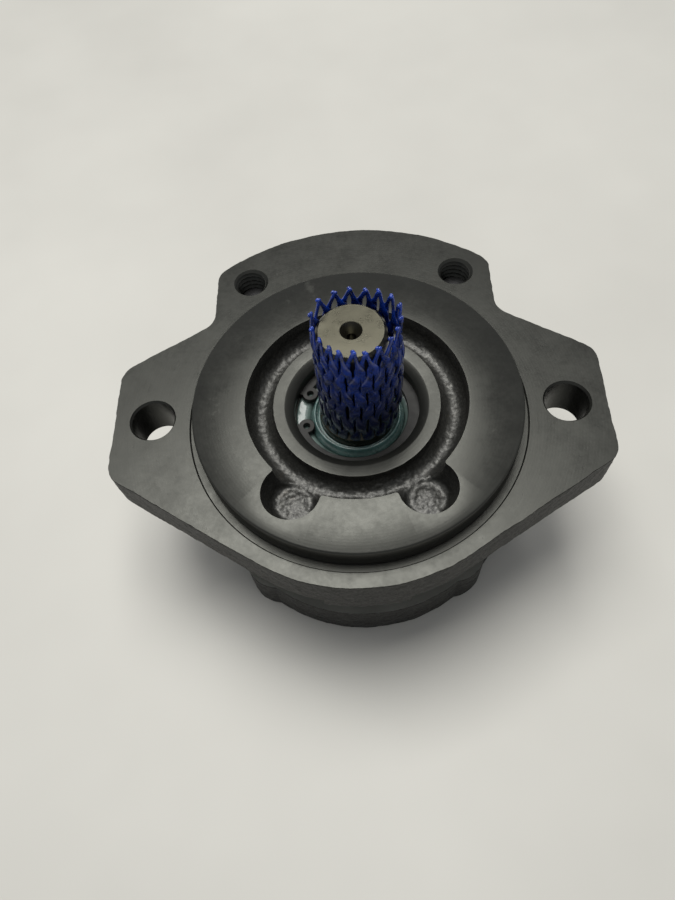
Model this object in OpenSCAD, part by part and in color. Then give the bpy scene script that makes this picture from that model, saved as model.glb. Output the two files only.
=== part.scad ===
// Gear pump with a two-bolt pilot flange and a keyed drive shaft, fitted with a plastic mesh shaft sleeve.
// The origin is the centre of the flange's mounting face, on the drive shaft's axis.
// +Z runs out along the drive shaft, +X towards one mounting ear, +Y towards the idler gear.

/* [Mounting flange] */
// Diameter of the pilot that centres the pump in its mounting
pilot_d = 82.55; // [82:0.05:83]
// Height of the pilot above the mounting face
pilot_h = 6.35; // [6:0.05:7]
// Distance between the two mounting bolt holes
ear_spacing = 106.4; // [105.5:0.1:107]
// Diameter of each mounting bolt hole
ear_hole_d = 11.2; // [10.6:0.1:11.6]
// Thickness of the flange
flange_t = 12.3; // [11.5:0.1:13]
// Half of the flange's width across the ears
ear_half = 63.2; // [62.5:0.1:64]
// Radius of the round front edge of the flange
flange_r = 47; // [46.5:0.1:48]

/* [Seal hub and cast recesses] */
// Inner radius of the ring-shaped recess
trench_ri = 20.8; // [20.5:0.1:21]
// Outer radius of the ring-shaped recess
trench_ro = 28; // [27.5:0.1:28.5]
// Height of the hub's face above the mounting face
hub_z = 4.2; // [3.8:0.1:4.6]
// Height of the floor of the ring-shaped recess
trench_z = -0.6; // [-1.5:0.1:0.2]
// Distance of each side pocket from the centre plane
pocket_x = 16; // [15.5:0.1:16.3]
// Distance of the side pockets in front of the shaft
pocket_y = 25.2; // [24.8:0.1:25.6]
// Radius of a side pocket at its mouth
pocket_r = 7.2; // [6.9:0.1:7.4]
// Bore that holds the shaft seal
seal_bore_d = 31.8; // [31.78:0.01:31.9]

/* [Pumping gears] */
// Centre distance of the two gears
gear_c = 34; // [34:0.01:34.1]
// Number of teeth on each gear
gear_teeth = 10; // [10]
// Tip radius of a gear
gear_ra = 20.2; // [20:0.05:20.2]
// Root radius of a gear
gear_rf = 13; // [12.8:0.1:13]
// Pressure angle of the teeth
gear_pa = 28; // [28]
// Backlash taken off each tooth's thickness
gear_backlash = 0.14; // [0.12:0.01:0.2]
// Face width of a gear
gear_w = 12; // [11.8:0.05:12]

/* [Shafts] */
// Journal diameter of both shafts
journal_d = 19; // [18.96:0.01:19.04]
// Diameter of the drive shaft's end
shaft_d = 15.88; // [15.7:0.01:15.9]
// Width of the shaft key
shaft_key_w = 3.96; // [3.9:0.01:4]
// Diameter of the half-round shaft key
shaft_key_d = 15.88; // [15.5:0.02:16]
// Height of the key's centre above the mounting face
shaft_key_z = 17; // [15:0.5:18]
// Height of the drive shaft's end above the mounting face
shaft_end = 32.7; // [31.8:0.1:33.5]

/* [Casings] */
// Depth of the joint between the front cover and the gear housing
front_joint = 18; // [18]
// Depth of the joint between the gear housing and the rear cover
rear_joint = 35; // [35]
// Depth of the rear cover's back face
back_z = 50; // [49.5:0.1:51]
// Radius of the rear cover round the drive shaft
rear_r = 43; // [42.5:0.1:43.5]
// Radius of the gear housing round the drive shaft
housing_r = 39; // [38.5:0.1:39.5]

/* [Ports] */
// Wall radius of the inlet port's thread
inlet_r = 8.75; // [8.5:0.05:8.8]
// Wall radius of the outlet port's thread
outlet_r = 6.45; // [6.3:0.05:6.6]

/* [Shaft sleeve] */
// Outer diameter of the mesh sleeve
sleeve_d = 20.5; // [20.3:0.1:20.8]
// Inner diameter of the mesh sleeve
sleeve_bore = 17.9; // [17.7:0.1:18]
// Height of the sleeve's lower end above the mounting face
sleeve_z0 = 2.1; // [2:0.1:3]
// Height of the sleeve's tallest strand ends
sleeve_z1 = 38.6; // [37:0.1:39]

/* [Hidden] */
$fn = 96;
e = 0.05;

ear_a = 58;                    // direction of the normal of an ear's straight edge
ear_fr = 6;                    // rounding of an ear's corners
head_hw = 39;                  // half width of the head over the idler gear
head_cy = 4.4;                 // centre of the head's top arc
head_r = 59.3;                 // radius of the head's top arc
head_fr = 5.5;                 // rounding of the head's top corners
up_screw = [29.35, 45.3];      // upper cap screws
low_screw = [24.6, -25.8];     // lower cap screws
screw_r = 4.7;                 // cap screw shank radius
screw_hole_r = 4.95;
tap_r = 4.05;                  // tapped hole wall radius
screw_tip = -6.4;              // where the upper cap screws end inside their tapped holes
screw_len = 33.4;              // cap screw length under the head
head_h = 9.5;                  // cap screw head height
lug_r = 9;
lug_r2 = 7;
bush_ro = 11.1;                // bushing seat radius
bush_l = 9.4;
gz0 = -rear_joint + 2.5;       // lower face of the gears
gz1 = gz0 + gear_w;            // upper face of the gears
inlet_xy = [13.4, 17];
outlet_xy = [-12.4, 17];
dowel_xy = [31.5, 12];
dowel_r = 2.5;
track_ri = 23.5;               // body seal track round both gears
track_ro = 25.5;
pocket_bore_r = gear_ra + 0.1;
key_top = 9.92;                // radius of the shaft key's flat top
key_cx = key_top + 1.59;       // centre of the key's round back
sleeve_x = 0.9;                // the key pushes the sleeve off centre

function arc(cx, cy, r, a0, a1, n) = [for (i = [0:n]) [cx + r * cos(a0 + (a1 - a0) * i / n), cy + r * sin(a0 + (a1 - a0) * i / n)]];
function mirror_x(p) = [for (i = [len(p) - 2:-1:1]) [-p[i][0], p[i][1]]];

// Right half of the flange outline, from the bottom centre to the top centre.
function ear_cy() = (flange_r - ear_fr - cos(ear_a) * (ear_half - ear_fr)) / sin(ear_a);
function notch_cy(hw) = (flange_r + ear_fr - cos(ear_a) * (hw + ear_fr)) / sin(ear_a);
function head_corner_y(hw, r, fr) = head_cy + sqrt(pow(r - fr, 2) - pow(hw - fr, 2));
function head_pts(hw, r, fr) = concat(
  arc(hw - fr, head_corner_y(hw, r, fr), fr, 0, atan2(head_corner_y(hw, r, fr) - head_cy, hw - fr), 10),
  arc(0, head_cy, r, atan2(head_corner_y(hw, r, fr) - head_cy, hw - fr) + 2, 90, 16));
function flange_half() = concat(
  arc(0, 0, flange_r, -90, -ear_a, 18),
  arc(ear_half - ear_fr, -ear_cy(), ear_fr, -ear_a, 0, 10),
  arc(ear_half - ear_fr, ear_cy(), ear_fr, 0, ear_a, 10),
  arc(head_hw + ear_fr, notch_cy(head_hw), ear_fr, 180 + ear_a, 180, 10),
  head_pts(head_hw, head_r, head_fr));
function body_half(r, hw, hr) = concat(
  arc(0, 0, r, -90, acos(hw / r), 30),
  head_pts(hw, hr, head_fr - (head_hw - hw)));
module both(h) { polygon(concat(h, mirror_x(h))); }
module at_pair(p) { for (s = [-1, 1]) translate([s * p[0], p[1], 0]) children(); }
module at_gears() { for (y = [0, gear_c]) translate([0, y, 0]) children(); }
module at_screws() { at_pair(up_screw) children(); at_pair(low_screw) children(); }

module casing(z0, z1, r, hw, hr, lr) {
  translate([0, 0, z0]) linear_extrude(z1 - z0) both(body_half(r, hw, hr));
  at_pair(low_screw) translate([0, 0, z0]) cylinder(r = lr, h = z1 - z0);
}
module track(z0, z1, ri, ro) {
  translate([0, 0, z0]) difference() {
    union() {
      at_gears() cylinder(r = ro, h = z1 - z0);
      translate([-ro, 0, 0]) cube([2 * ro, gear_c, z1 - z0]);
    }
    at_gears() translate([0, 0, -1]) cylinder(r = ri, h = z1 - z0 + 2);
    translate([-ri, 0, -1]) cube([2 * ri, gear_c, z1 - z0 + 2]);
  }
}
module eight(z0, z1, r) { translate([0, 0, z0]) at_gears() cylinder(r = r, h = z1 - z0); }

module front_cover() {
  color([0.30, 0.30, 0.28]) difference() {
    union() {
      difference() {
        translate([0, 0, -flange_t]) linear_extrude(flange_t) both(flange_half());
        // relief round the foot of the pilot
        translate([0, 0, -0.5]) cylinder(r = pilot_d / 2 + 2.1, h = 2);
      }
      translate([0, 0, -3]) cylinder(d = pilot_d, h = pilot_h + 3 - 0.4);
      translate([0, 0, pilot_h - 0.4]) cylinder(d1 = pilot_d, d2 = pilot_d - 0.8, h = 0.4);
      casing(-front_joint, -flange_t + 1, housing_r, head_hw - 1, head_r - 1, lug_r2);
      // pad under the front edge of the flange
      translate([0, 0, -16]) linear_extrude(5) polygon(concat([[11.5, -30], [-10, -30]], arc(0, 0, flange_r - 0.3, 257.8, 284.2, 8)));
    }
    // ring-shaped cast recess
    rotate_extrude() polygon(concat([[trench_ri, 8], [trench_ri + 0.25, trench_z + 3.2]],
      [for (a = [188:8.2:352]) [(trench_ri + trench_ro) / 2 + 3.35 * cos(a), trench_z + 3.3 + 3.3 * sin(a)]],
      [[trench_ro - 0.25, trench_z + 3.2], [trench_ro, 8]]));
    // side pockets
    at_pair([pocket_x, -pocket_y]) rotate_extrude() polygon([[0, -1], [5.2, -1], [pocket_r, 4.5], [pocket_r, 9], [0, 9]]);
    // seal bore, retaining ring groove, shaft bearing seat and lowered hub face
    rotate_extrude() polygon([[0, -front_joint - 1], [bush_ro, -front_joint - 1], [bush_ro, -8.2], [seal_bore_d / 2, -8.2],
      [seal_bore_d / 2, -1.6], [16.8, -1.6], [16.8, 0], [seal_bore_d / 2, 0], [seal_bore_d / 2, hub_z - 1.5],
      [seal_bore_d / 2 + 2.2, hub_z], [trench_ri + 1, hub_z], [trench_ri + 1, 9], [0, 9]]);
    translate([0, gear_c, -front_joint - 1]) cylinder(r = bush_ro, h = 11);
    // mounting bolt holes
    at_pair([ear_spacing / 2, 0]) rotate_extrude() polygon([[0, -20], [ear_hole_d / 2, -20], [ear_hole_d / 2, -0.35], [ear_hole_d / 2 + 0.7, 0.35], [0, 0.35]]);
    // tapped holes for the cap screws
    at_pair(up_screw) rotate_extrude() polygon([[0, -20], [tap_r, -20], [tap_r, -0.75], [tap_r + 1.5, 0.75], [0, 0.75]]);
    at_pair(low_screw) translate([0, 0, -front_joint - 1]) cylinder(r = tap_r, h = 14);
    // body seal groove and dowel holes
    track(-front_joint - 1, -front_joint + 1.5, track_ri - 0.05, track_ro + 0.05);
    at_pair(dowel_xy) translate([0, 0, -front_joint - 1]) cylinder(r = dowel_r + 0.02, h = 8.2);
  }
}
module gear_housing() {
  color([0.28, 0.28, 0.27]) difference() {
    casing(-rear_joint, -front_joint, housing_r, head_hw - 1, head_r - 1, lug_r2);
    eight(-rear_joint - 1, -front_joint + 1, pocket_bore_r);
    translate([inlet_xy[0], inlet_xy[1], -rear_joint - 1]) cylinder(r = 8.6, h = 20);
    translate([outlet_xy[0], outlet_xy[1], -rear_joint - 1]) cylinder(r = 6.6, h = 20);
    at_screws() translate([0, 0, -rear_joint - 1]) cylinder(r = screw_hole_r, h = 20);
    at_pair(dowel_xy) translate([0, 0, -rear_joint - 1]) cylinder(r = dowel_r + 0.02, h = 20);
  }
}
module rear_cover() {
  color([0.27, 0.27, 0.26]) difference() {
    casing(-back_z, -rear_joint, rear_r, head_hw, head_r, lug_r);
    // bearing seats
    at_gears() translate([0, 0, -rear_joint - 11.2]) cylinder(r = bush_ro, h = 12);
    // cap screw holes and counterbores
    at_screws() {
      translate([0, 0, -back_z - 1]) cylinder(r = screw_hole_r, h = 20);
      translate([0, 0, -back_z - 1]) cylinder(r = 7.5, h = 11.2);
    }
    // inlet and outlet ports, each with a seal chamfer at its mouth
    translate([inlet_xy[0], inlet_xy[1], 0]) {
      translate([0, 0, -back_z - 1]) cylinder(r = inlet_r, h = 11.5);
      translate([0, 0, -rear_joint - 6]) cylinder(r = 7, h = 8);
      translate([0, 0, -back_z - e]) cylinder(r1 = inlet_r + 1.5, r2 = inlet_r, h = 2.6);
    }
    translate([outlet_xy[0], outlet_xy[1], 0]) {
      translate([0, 0, -back_z - 1]) cylinder(r = outlet_r, h = 11.5);
      translate([0, 0, -rear_joint - 6]) cylinder(r = 5, h = 8);
      translate([0, 0, -back_z - e]) cylinder(r1 = outlet_r + 1.4, r2 = outlet_r, h = 2.6);
    }
    // grooves for the body seal and the pressure plate seal
    track(-rear_joint - 1.5, -rear_joint + 1, track_ri - 0.05, track_ro + 0.05);
    plate_seal(-rear_joint - 2, -rear_joint + 1, 12.75, 14.45, 0.85);
    at_pair(dowel_xy) translate([0, 0, -rear_joint - 7.2]) cylinder(r = dowel_r + 0.02, h = 10);
  }
}
module plate_seal(z0, z1, ri, ro, w) {
  translate([0, 0, z0]) {
    at_gears() difference() {
      cylinder(r = ro, h = z1 - z0);
      translate([0, 0, -1]) cylinder(r = ri, h = z1 - z0 + 2);
    }
    translate([-w, 13.6, 0]) cube([2 * w, gear_c - 27.2, z1 - z0]);
  }
}

// Involute tooth outline, centred on the angle a.
function rp() = gear_c / 2;
function rb() = rp() * cos(gear_pa);
function inv(r) = tan(acos(rb() / r)) * 180 / PI - acos(rb() / r);
function half_tooth() = ((PI * rp() / gear_teeth - gear_backlash) / (2 * rp())) * 180 / PI + inv(rp());
function tooth(a) = concat(
  [for (q = [-1.5, 0]) gear_rf * [cos(a - half_tooth() + q), sin(a - half_tooth() + q)]],
  [for (i = [0:7]) let (r = rb() + 0.001 + (gear_ra - rb() - 0.001) * i / 7, t = a - half_tooth() + inv(r)) r * [cos(t), sin(t)]],
  [for (i = [7:-1:0]) let (r = rb() + 0.001 + (gear_ra - rb() - 0.001) * i / 7, t = a + half_tooth() - inv(r)) r * [cos(t), sin(t)]],
  [for (q = [0, 1.5]) gear_rf * [cos(a + half_tooth() + q), sin(a + half_tooth() + q)]]);
module pump_gear(a0) {
  difference() {
    translate([0, 0, gz0]) linear_extrude(gear_w)
      polygon([for (k = [0:gear_teeth - 1]) each tooth(a0 + k * 360 / gear_teeth)]);
    translate([0, 0, gz0 - 1]) cylinder(d = journal_d + 0.04, h = gear_w + 2);
    for (z = [gz0 - 1, gz1 - 1.3]) translate([0, 0, z]) cylinder(r = 11.6, h = 2.3);
    translate([-1.62, 0, gz0 - 1]) cube([3.24, 11.15, gear_w + 2]);
  }
}
module gear_key() { translate([-1.58, 7.75, gz0 + 1.45]) cube([3.16, 3.3, gear_w - 2.9]); }
module snap_rings() {
  for (z = [gz0 + 0.12, gz1 - 1.22]) translate([0, 0, z]) difference() {
    cylinder(r = 11.3, h = 1.1);
    translate([0, 0, -1]) cylinder(r = 9.0, h = 4);
    rotate([0, 0, -90]) translate([0, -2, -1]) cube([14, 4, 4]);
  }
}
module shaft_core(z0) {
  difference() {
    union() {
      translate([0, 0, z0 + 0.8]) cylinder(d = journal_d, h = -z0 - 0.8);
      translate([0, 0, z0]) cylinder(d1 = journal_d - 1.6, d2 = journal_d, h = 0.8);
    }
    for (z = [gz0 + 0.07, gz1 - 1.27]) translate([0, 0, z]) difference() {
      cylinder(r = 12, h = 1.2);
      translate([0, 0, -1]) cylinder(r = 8.9, h = 4);
    }
    translate([-1.6, 7.7, gz0 + 1.4]) cube([3.2, 6, gear_w - 2.8]);
    translate([0, 0, z0 - e]) cylinder(r1 = 2.4, r2 = 0.9, h = 2.6);
    translate([0, 0, z0]) cylinder(r = 0.9, h = 4.5);
  }
}
module drive_shaft() {
  color([0.55, 0.52, 0.46]) difference() {
    union() {
      shaft_core(-45.2);
      translate([0, 0, -e]) cylinder(d = journal_d, h = 0.9 + e);
      translate([0, 0, 0.9]) cylinder(d1 = journal_d, d2 = shaft_d, h = 0.9);
      translate([0, 0, 1.8]) cylinder(d = shaft_d, h = shaft_end - 1.8 - 0.7);
      translate([0, 0, shaft_end - 0.7]) cylinder(r1 = shaft_d / 2, r2 = shaft_d / 2 - 0.7, h = 0.7);
    }
    // seat of the half-round key
    key_disc(shaft_key_d / 2 + 0.04, shaft_key_w + 0.04);
    // centre hole
    translate([0, 0, shaft_end - 2.6]) cylinder(r1 = 1.05, r2 = 2.48, h = 2.6 + e);
    translate([0, 0, shaft_end - 6]) cylinder(r = 1.05, h = 4);
  }
}
module key_disc(r, w) { translate([key_cx, -w / 2, shaft_key_z]) rotate([-90, 0, 0]) cylinder(r = r, h = w); }
module drive_shaft_key() {
  color([0.5, 0.49, 0.46]) difference() {
    key_disc(shaft_key_d / 2, shaft_key_w);
    translate([key_top, -5, shaft_key_z - 15]) cube([20, 10, 30]);
  }
}
module drive_gear() { color([0.60, 0.60, 0.60]) pump_gear(18); }
module drive_gear_key() { color([0.5, 0.5, 0.5]) gear_key(); }
module drive_gear_snap_rings() { color([0.25, 0.25, 0.26]) snap_rings(); }
module idler_shaft() { color([0.6, 0.6, 0.6]) translate([0, gear_c, 0]) difference() {
  shaft_core(-45.2);
  translate([0, 0, -9]) cylinder(r = 30, h = 20);
} }
module idler_gear() { color([0.60, 0.60, 0.60]) translate([0, gear_c, 0]) pump_gear(0); }
module idler_gear_key() { color([0.5, 0.5, 0.5]) translate([0, gear_c, 0]) gear_key(); }
module idler_gear_snap_rings() { color([0.25, 0.25, 0.26]) translate([0, gear_c, 0]) snap_rings(); }

module bushing(z) { translate([0, 0, z]) difference() {
  cylinder(r = bush_ro - 0.02, h = bush_l);
  translate([0, 0, -1]) cylinder(d = journal_d + 0.1, h = bush_l + 2);
} }
module front_drive_bushing() { color([0.62, 0.48, 0.28]) bushing(-front_joint + 0.1); }
module front_idler_bushing() { color([0.62, 0.48, 0.28]) translate([0, gear_c, 0]) bushing(-front_joint + 0.1); }
module rear_drive_bushing() { color([0.62, 0.48, 0.28]) bushing(-rear_joint - bush_l - 0.1); }
module rear_idler_bushing() { color([0.62, 0.48, 0.28]) translate([0, gear_c, 0]) bushing(-rear_joint - bush_l - 0.1); }

module plate(z0, z1) {
  difference() {
    eight(z0, z1, pocket_bore_r - 0.05);
    at_gears() translate([0, 0, z0 - 1]) cylinder(d = journal_d + 0.3, h = z1 - z0 + 2);
    translate([inlet_xy[0], inlet_xy[1], z0 - 1]) cylinder(r = 7.4, h = z1 - z0 + 2);
    translate([outlet_xy[0], outlet_xy[1], z0 - 1]) cylinder(r = 5.8, h = z1 - z0 + 2);
  }
}
module front_wear_plate() { color([0.66, 0.52, 0.30]) plate(gz1 + 0.06, -front_joint - 0.02); }
module pressure_plate() { color([0.66, 0.52, 0.30]) plate(-rear_joint + 0.02, gz0 - 0.06); }
module pressure_plate_seal() { color([0.05, 0.05, 0.05]) plate_seal(-rear_joint - 1.95, -rear_joint - 0.02, 12.8, 14.4, 0.8); }
module front_body_seal() { color([0.05, 0.05, 0.05]) track(-front_joint + 0.02, -front_joint + 1.45, track_ri, track_ro); }
module rear_body_seal() { color([0.05, 0.05, 0.05]) track(-rear_joint - 1.45, -rear_joint - 0.02, track_ri, track_ro); }
module dowel(z0, l) { translate([0, 0, z0]) {
  translate([0, 0, 0.5]) cylinder(r = dowel_r, h = l - 1);
  cylinder(r1 = dowel_r - 0.4, r2 = dowel_r, h = 0.5);
  translate([0, 0, l - 0.5]) cylinder(r1 = dowel_r, r2 = dowel_r - 0.4, h = 0.5);
} }
module front_dowel_pins() { color([0.6, 0.6, 0.62]) at_pair(dowel_xy) dowel(-front_joint - 7, 14); }
module rear_dowel_pins() { color([0.6, 0.6, 0.62]) at_pair(dowel_xy) dowel(-rear_joint - 7, 14); }

module shaft_seal_case() {
  color([0.30, 0.42, 0.40]) rotate_extrude() polygon([[15.0, -8.0], [15.88, -8.0], [15.88, -2.2], [15.5, -1.75], [12.2, -1.75], [12.2, -2.6], [15.0, -2.6]]);
}
module shaft_seal_lip() {
  color([0.10, 0.20, 0.22]) rotate_extrude() polygon([[12.15, -1.8], [11.0, -1.8], [10.4, -0.7], [9.9, -0.4], [9.57, -0.5], [9.8, -1.5],
    [10.0, -3.2], [9.57, -5.6], [9.9, -6.2], [11.2, -6.5], [11.4, -5.2], [11.1, -3.9], [12.15, -3.5]]);
}
module seal_garter_spring() { color([0.6, 0.6, 0.6]) translate([0, 0, -5.9]) rotate_extrude() translate([12.15, 0]) circle(r = 0.6, $fn = 24); }

// Internal retaining ring with two eyelets; the open side faces -X.
module seal_retaining_ring() {
  color([0.32, 0.32, 0.31]) translate([0, 0, -1.5]) difference() {
    union() {
      difference() {
        cylinder(r = 16.7, h = 1.4);
        translate([-0.4, 0, -1]) cylinder(r = 13.45, h = 4);
        translate([0, 0, -1]) linear_extrude(4) polygon([[0, 0], 20 * [cos(157), sin(157)], 24 * [cos(175), sin(175)], 20 * [cos(192.5), sin(192.5)]]);
      }
      for (a = [153.5, 196.1]) translate([13.5 * cos(a), 13.5 * sin(a), 0]) cylinder(r = 2.05, h = 1.4);
    }
    for (a = [153.5, 196.1]) translate([13.5 * cos(a), 13.5 * sin(a), -1]) cylinder(r = 0.8, h = 4);
  }
}
module cap_screw() {
  // head in its counterbore, shank up through the casings, thread in the front cover
  translate([0, 0, screw_tip - screw_len - head_h]) difference() {
    union() {
      cylinder(r1 = 6.6, r2 = 7.1, h = 0.6);
      translate([0, 0, 0.6]) cylinder(r = 7.1, h = head_h - 0.6);
    }
    translate([0, 0, -1]) cylinder(r = 4.58, h = 5.6, $fn = 6);
  }
  translate([0, 0, screw_tip - screw_len - e]) cylinder(r = screw_r, h = -front_joint - 0.3 - (screw_tip - screw_len) + e);
  translate([0, 0, -front_joint - 0.4]) cylinder(r = tap_r - 0.04, h = screw_tip + front_joint + 0.4 - 0.6);
  translate([0, 0, screw_tip - 0.61]) cylinder(r1 = tap_r - 0.04, r2 = tap_r - 0.6, h = 0.61);
}
module cap_screws() { color([0.20, 0.20, 0.21]) at_screws() cap_screw(); }
module protective_sleeve() {
  color([0.03, 0.10, 0.45]) difference() {
    translate([sleeve_x, 0, sleeve_z0]) cylinder(d = sleeve_d, h = sleeve_z1 - sleeve_z0);
    translate([sleeve_x - 0.15, 0, sleeve_z0 - 1]) cylinder(d = sleeve_bore, h = sleeve_z1 - sleeve_z0 + 2);
    // room for the shaft key
    translate([5, -2.4, sleeve_z0 - 1]) cube([5.25, 4.8, shaft_key_z + 8.6 - sleeve_z0 + 1]);
  }
}

front_cover();
gear_housing();
rear_cover();
drive_shaft();
drive_shaft_key();
drive_gear();
drive_gear_key();
drive_gear_snap_rings();
idler_shaft();
idler_gear();
idler_gear_key();
idler_gear_snap_rings();
front_drive_bushing();
front_idler_bushing();
rear_drive_bushing();
rear_idler_bushing();
front_wear_plate();
pressure_plate();
pressure_plate_seal();
front_body_seal();
rear_body_seal();
front_dowel_pins();
rear_dowel_pins();
shaft_seal_case();
shaft_seal_lip();
seal_garter_spring();
seal_retaining_ring();
cap_screws();
protective_sleeve();
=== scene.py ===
import bpy, math
import numpy as np
from mathutils import Matrix, Vector


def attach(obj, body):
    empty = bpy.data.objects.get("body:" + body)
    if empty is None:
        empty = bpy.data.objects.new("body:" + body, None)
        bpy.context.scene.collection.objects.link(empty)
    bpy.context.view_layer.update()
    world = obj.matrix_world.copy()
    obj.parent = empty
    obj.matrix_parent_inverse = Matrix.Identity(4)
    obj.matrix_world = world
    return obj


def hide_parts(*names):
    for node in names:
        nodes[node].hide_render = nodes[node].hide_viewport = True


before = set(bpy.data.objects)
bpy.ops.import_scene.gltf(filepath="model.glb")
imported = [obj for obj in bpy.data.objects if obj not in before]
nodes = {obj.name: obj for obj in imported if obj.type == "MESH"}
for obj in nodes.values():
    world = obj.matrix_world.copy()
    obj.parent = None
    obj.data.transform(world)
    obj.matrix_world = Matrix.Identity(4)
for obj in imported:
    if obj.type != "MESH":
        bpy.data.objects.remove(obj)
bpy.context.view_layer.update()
MM = 0.001

# ------------------------------------------------------------------ camera and stage
cam_data = bpy.data.cameras.new("camera")
cam_data.sensor_fit = "AUTO"
cam_data.sensor_width = 36.0
cam_data.lens = 702.527732 / 900 * 36
cam_data.clip_start = 0.005
cam_data.clip_end = 20
cam = bpy.data.objects.new("camera", cam_data)
bpy.context.scene.collection.objects.link(cam)
rv = Vector((0.502268329, 0.0596776084, -0.0314959405))
cam.matrix_world = Matrix.Translation((0.00344181, -0.0956014, 0.1530619)) @ Matrix.Rotation(rv.length, 4, rv.normalized())
bpy.context.scene.camera = cam
bpy.context.scene.view_settings.view_transform = "Standard"
bpy.context.scene.view_settings.look = "None"

# ------------------------------------------------------------------ dimensions, mm (as in the CAD)
FLANGE_R, FLANGE_T, EAR_HALF, EAR_A, EAR_FR = 47.0, 12.3, 63.2, math.radians(58), 6.0
HEAD_HW, HEAD_CY, HEAD_R, HEAD_FR = 39.0, 4.4, 59.3, 5.5
PILOT_R, PILOT_H, HUB_Z = 41.275, 6.35, 4.2
TR_I, TR_O, TR_Z = 20.8, 28.0, -0.6
PK_X, PK_Y, PK_R = 16.0, -25.2, 7.2
UP, LOW = (29.35, 45.3), (24.6, -25.8)
JOINT_F, JOINT_R, BACK = -18.0, -35.0, -50.0
EAR_X, EAR_HOLE_R = 53.2, 5.6
INLET, INLET_R, OUTLET, OUTLET_R = (13.4, 17.0), 8.75, (-12.4, 17.0), 6.45
SHAFT_END = 32.7


# ------------------------------------------------------------------ noise
def _hash(ix, iy, iz, seed):
    h = (ix * 374761393 + iy * 668265263 + iz * 2147483647 + seed * 1274126177) & 0xFFFFFFFF
    h = ((h ^ (h >> 13)) * 1274126177) & 0xFFFFFFFF
    h = ((h ^ (h >> 16)) * 2246822519) & 0xFFFFFFFF
    return ((h ^ (h >> 15)) & 0xFFFFFF) / float(0xFFFFFF) * 2 - 1


def vnoise(p, seed=0):
    """Smooth value noise, from -1 to 1."""
    i = np.floor(p).astype(np.int64)
    f = p - i
    u = f * f * f * (f * (f * 6 - 15) + 10)
    r = 0
    for dx in (0, 1):
        wx = u[:, 0] if dx else 1 - u[:, 0]
        for dy in (0, 1):
            wy = u[:, 1] if dy else 1 - u[:, 1]
            for dz in (0, 1):
                wz = u[:, 2] if dz else 1 - u[:, 2]
                r = r + wx * wy * wz * _hash(i[:, 0] + dx, i[:, 1] + dy, i[:, 2] + dz, seed)
    return r


def fbm(p, size, octaves=3, gain=0.5, seed=0):
    """Sum of octaves; size is the first octave's cell in mm."""
    a, s, r, t = 1.0, 1.0 / size, 0, 0
    for k in range(octaves):
        r = r + a * vnoise(p * s + 17.3 * k, seed + k)
        t += a
        a *= gain
        s *= 2.03
    return r / t


# ------------------------------------------------------------------ meshes, worked in mm
def make(name, co, faces, mat=None, smooth=True):
    me = bpy.data.meshes.new(name)
    me.from_pydata([tuple(map(float, c)) for c in co], [], faces)
    me.validate()
    me.update()
    if mat is not None:
        me.materials.append(mat)
    if smooth:
        me.polygons.foreach_set("use_smooth", [True] * len(me.polygons))
    o = bpy.data.objects.new(name, me)
    bpy.context.scene.collection.objects.link(o)
    return o


def grid_faces(rows, cols, wrap_cols=True, wrap_rows=False, flip=False):
    """Quads of a rows x cols grid of points, row by row."""
    f = []
    rr = rows if wrap_rows else rows - 1
    cc = cols if wrap_cols else cols - 1
    for r in range(rr):
        a, b = r * cols, ((r + 1) % rows) * cols
        for c in range(cc):
            d = (c + 1) % cols
            q = (a + c, a + d, b + d, b + c)
            f.append(q[::-1] if flip else q)
    return f


def lathe(profile, segs, closed=False, centre=(0, 0)):
    """Points and faces of a profile [(r, z)...] turned round z. A profile that starts and ends on r=0 is capped with one point at each end."""
    co, faces = [], []
    a = np.linspace(0, 2 * math.pi, segs, endpoint=False)
    prof = list(profile)
    cap0, cap1 = (not closed and prof[0][0] < 1e-9), (not closed and prof[-1][0] < 1e-9)
    body = prof[1 if cap0 else 0: len(prof) - (1 if cap1 else 0)]
    for r, z in body:
        co += list(zip(centre[0] + r * np.cos(a), centre[1] + r * np.sin(a), np.full(segs, z)))
    faces = grid_faces(len(body), segs, True, closed)
    if cap0:
        k = len(co); co.append((centre[0], centre[1], prof[0][1]))
        faces += [(k, (c + 1) % segs, c) for c in range(segs)]
    if cap1:
        k = len(co); co.append((centre[0], centre[1], prof[-1][1]))
        b = (len(body) - 1) * segs
        faces += [(k, b + c, b + (c + 1) % segs) for c in range(segs)]
    return np.array(co, float), faces


def densify(profile, step):
    """Splits a profile's segments to at most step."""
    out = [profile[0]]
    for (r0, z0), (r1, z1) in zip(profile[:-1], profile[1:]):
        n = max(1, int(math.ceil(math.hypot(r1 - r0, z1 - z0) / step)))
        out += [(r0 + (r1 - r0) * k / n, z0 + (z1 - z0) * k / n) for k in range(1, n + 1)]
    return out


def arc(cx, cy, r, a0, a1, step=0.35):
    n = max(2, int(abs(a1 - a0) * r / step))
    t = np.linspace(a0, a1, n + 1)
    return list(zip(cx + r * np.cos(t), cy + r * np.sin(t)))


def resample(pts, step):
    """Closed outline at even spacing."""
    p = np.array(pts + [pts[0]], float)
    d = np.r_[0, np.cumsum(np.hypot(*np.diff(p, axis=0).T))]
    keep = np.r_[True, np.diff(d) > 1e-9]
    p, d = p[keep], d[keep]
    n = int(d[-1] / step)
    t = np.linspace(0, d[-1], n, endpoint=False)
    return np.c_[np.interp(t, d, p[:, 0]), np.interp(t, d, p[:, 1])]


def mirror(half):
    return half + [(-x, y) for x, y in half[-2:0:-1]]


def head_pts(hw, r, fr):
    y = HEAD_CY + math.sqrt((r - fr) ** 2 - (hw - fr) ** 2)
    t = math.atan2(y - HEAD_CY, hw - fr)
    return arc(hw - fr, y, fr, 0, t) + arc(0, HEAD_CY, r, t, math.pi / 2)[1:]


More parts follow.
